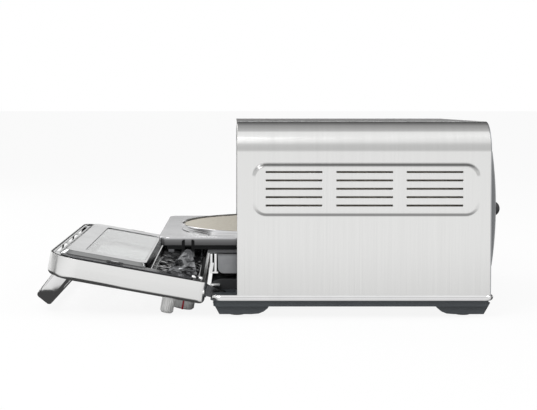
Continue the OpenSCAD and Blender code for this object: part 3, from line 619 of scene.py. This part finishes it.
baffle = bmesh.new()
made = bmesh.ops.create_cube(baffle, size=1)["verts"]
bmesh.ops.scale(baffle, vec=(341 * mm, 44 * mm, 5.6 * mm), verts=made)
bmesh.ops.translate(baffle, vec=(0, front - 20 * mm, 85.2 * mm), verts=made)
baffle_grey = finish("baffle_enamel", (shade(92, 93, 95), shade(108, 109, 111)), (0.3, 0.4),
                     grain=(0.01, 0.01, 0.01))
shown("deck_baffle", baffle, "deck", baffle_grey, edge=0.8 * mm)

coat(work_steel, "carriage_bars")
runner_white = finish("runner_polymer", (shade(206, 206, 202), shade(216, 216, 212)), (0.45, 0.55),
                      grain=(0.004, 0.004, 0.004))
coat(runner_white, "carriage_runners")
refined("carriage_strips", "carriage_posts", bright, edge=0.2 * mm)


# ---- Room ----
# A pale floor in a white room, with three soft lamps. The camera sees the room plain white. What is
# mirrored in the metal is another room: light and dark bands overhead, and a floor that is dark under
# and close beside the oven.

floor_mesh = bmesh.new()
bmesh.ops.create_grid(floor_mesh, x_segments=1, y_segments=1, size=60)
floor_data = bpy.data.meshes.new("floor")
floor_mesh.to_mesh(floor_data)
floor_mesh.free()
floor = bpy.data.objects.new("floor", floor_data)
bpy.context.scene.collection.objects.link(floor)
floor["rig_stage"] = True
floor_paint = bpy.data.materials.new("floor_paint")
floor_paint.use_nodes = True
nodes, links = floor_paint.node_tree.nodes, floor_paint.node_tree.links
nodes["Principled BSDF"].inputs["Base Color"].default_value = (0.9, 0.9, 0.9, 1)
nodes["Principled BSDF"].inputs["Roughness"].default_value = 0.9
path = nodes.new("ShaderNodeLightPath")
white = nodes.new("ShaderNodeEmission")
blend = nodes.new("ShaderNodeMixShader")
seen = nodes.new("ShaderNodeMath")
seen.operation = "MAXIMUM"
links.new(path.outputs["Is Camera Ray"], seen.inputs[0])
links.new(path.outputs["Is Transmission Ray"], seen.inputs[1])
place = nodes.new("ShaderNodeTexCoord")
apart = nodes.new("ShaderNodeSeparateXYZ")
links.new(place.outputs["Object"], apart.inputs["Vector"])

# How far out the mirrored floor's dark part reaches, from the door's end to the rear of the oven.
reach = graded(nodes, [(0.0, 0.2), (0.08, 0.2), (0.1, 0.8), (0.19, 0.8), (0.25, 0.42), (0.39, 0.4),
                       (0.42, 0.2), (0.92, 0.2)])
along = nodes.new("ShaderNodeMapRange")
along.inputs["From Min"].default_value = -0.42
along.inputs["From Max"].default_value = 0.38
links.new(apart.outputs["Y"], along.inputs["Value"])
links.new(along.outputs["Result"], reach.inputs["Fac"])
wide = nodes.new("ShaderNodeMath")
wide.operation = "ABSOLUTE"
links.new(apart.outputs["X"], wide.inputs[0])
past = nodes.new("ShaderNodeMath")
past.operation = "MULTIPLY_ADD"
past.inputs[1].default_value = -0.22
links.new(reach.outputs["Color"], past.inputs[0])
links.new(wide.outputs["Value"], past.inputs[2])
under = graded(nodes, [(0.16, 0.06), (0.2, 0.74), (0.45, 0.84), (1.0, 0.95)])
links.new(past.outputs["Value"], under.inputs["Fac"])
mirrored = nodes.new("ShaderNodeEmission")
links.new(under.outputs["Color"], mirrored.inputs["Color"])
part = nodes.new("ShaderNodeMath")
part.operation = "MULTIPLY"
part.inputs[1].default_value = 0.9
links.new(seen.outputs["Value"], part.inputs[0])
links.new(part.outputs["Value"], blend.inputs[0])
links.new(nodes["Principled BSDF"].outputs["BSDF"], blend.inputs[1])
links.new(white.outputs["Emission"], blend.inputs[2])
shiny = nodes.new("ShaderNodeMixShader")
links.new(path.outputs["Is Glossy Ray"], shiny.inputs[0])
links.new(blend.outputs["Shader"], shiny.inputs[1])
links.new(mirrored.outputs["Emission"], shiny.inputs[2])
links.new(shiny.outputs["Shader"], nodes["Material Output"].inputs["Surface"])
floor_data.materials.append(floor_paint)

# The mirrored room's bands run round the oven's length, from the near horizon, 0, over the top to the
# far horizon, 1.
world = bpy.data.worlds.new("room")
bpy.context.scene.world = world
world.use_nodes = True
nodes, links = world.node_tree.nodes, world.node_tree.links
place = nodes.new("ShaderNodeTexCoord")
apart = nodes.new("ShaderNodeSeparateXYZ")
angle = nodes.new("ShaderNodeMath")
angle.operation = "ARCTAN2"
links.new(place.outputs["Generated"], apart.inputs["Vector"])
links.new(apart.outputs["Z"], angle.inputs[0])
links.new(apart.outputs["X"], angle.inputs[1])
share = nodes.new("ShaderNodeMath")
share.operation = "DIVIDE"
share.inputs[1].default_value = math.pi
links.new(angle.outputs["Value"], share.inputs[0])
sky = graded(nodes, [(0.0, 0.92), (0.035, 0.62), (0.14, 0.62), (0.24, 0.82), (0.4, 0.95), (0.463, 0.95),
                     (0.478, 0.55), (0.64, 0.38), (0.76, 0.18), (0.88, 0.06), (0.918, 0.08), (0.942, 0.95),
                     (0.966, 0.95), (0.975, 0.03)], "EASE")
links.new(share.outputs["Value"], sky.inputs["Fac"])
path = nodes.new("ShaderNodeLightPath")
banded = nodes.new("ShaderNodeBackground")
links.new(sky.outputs["Color"], banded.inputs["Color"])
plain = nodes.new("ShaderNodeBackground")
plain.inputs["Color"].default_value = (1, 1, 1, 1)
plain.inputs["Strength"].default_value = 0.6
white = nodes.new("ShaderNodeBackground")
white.inputs["Color"].default_value = (1, 1, 1, 1)
mirrored = nodes.new("ShaderNodeMixShader")
links.new(path.outputs["Is Glossy Ray"], mirrored.inputs[0])
links.new(plain.outputs["Background"], mirrored.inputs[1])
links.new(banded.outputs["Background"], mirrored.inputs[2])
seen = nodes.new("ShaderNodeMath")
seen.operation = "MAXIMUM"
links.new(path.outputs["Is Camera Ray"], seen.inputs[0])
links.new(path.outputs["Is Transmission Ray"], seen.inputs[1])
whole = nodes.new("ShaderNodeMixShader")
links.new(seen.outputs["Value"], whole.inputs[0])
links.new(mirrored.outputs["Shader"], whole.inputs[1])
links.new(white.outputs["Background"], whole.inputs[2])
links.new(whole.outputs["Shader"], nodes["World Output"].inputs["Surface"])

for name, spot, aim, size, power in (
        ("key", (1.6, -1.2, 1.9), (0, 0, 0.1), 1.2, 26),
        ("fill", (-1.4, -1.6, 1.5), (0, 0, 0.1), 1.4, 16),
        ("back", (0.6, 1.9, 1.6), (0, 0, 0.1), 1.2, 14)):
    data = bpy.data.lights.new(name, "AREA")
    data.shape = "SQUARE"
    data.size = size
    data.energy = power
    lamp = bpy.data.objects.new(name, data)
    lamp.location = spot
    lamp.rotation_euler = (Vector(aim) - Vector(spot)).to_track_quat("-Z", "Y").to_euler()
    bpy.context.scene.collection.objects.link(lamp)

eye = bpy.data.cameras.new("eye")
eye.sensor_width = 36
eye.lens = 80.45
eye.shift_x = 0.066
eye.shift_y = -0.10
camera = bpy.data.objects.new("camera", eye)
camera.location = (1.885, front - 5.5 * mm, 0.294)
camera.rotation_euler = (math.radians(90 - 2.186), 0, math.radians(90))
bpy.context.scene.collection.objects.link(camera)
bpy.context.scene.camera = camera
bpy.context.scene.view_settings.view_transform = "Standard"

low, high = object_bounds()
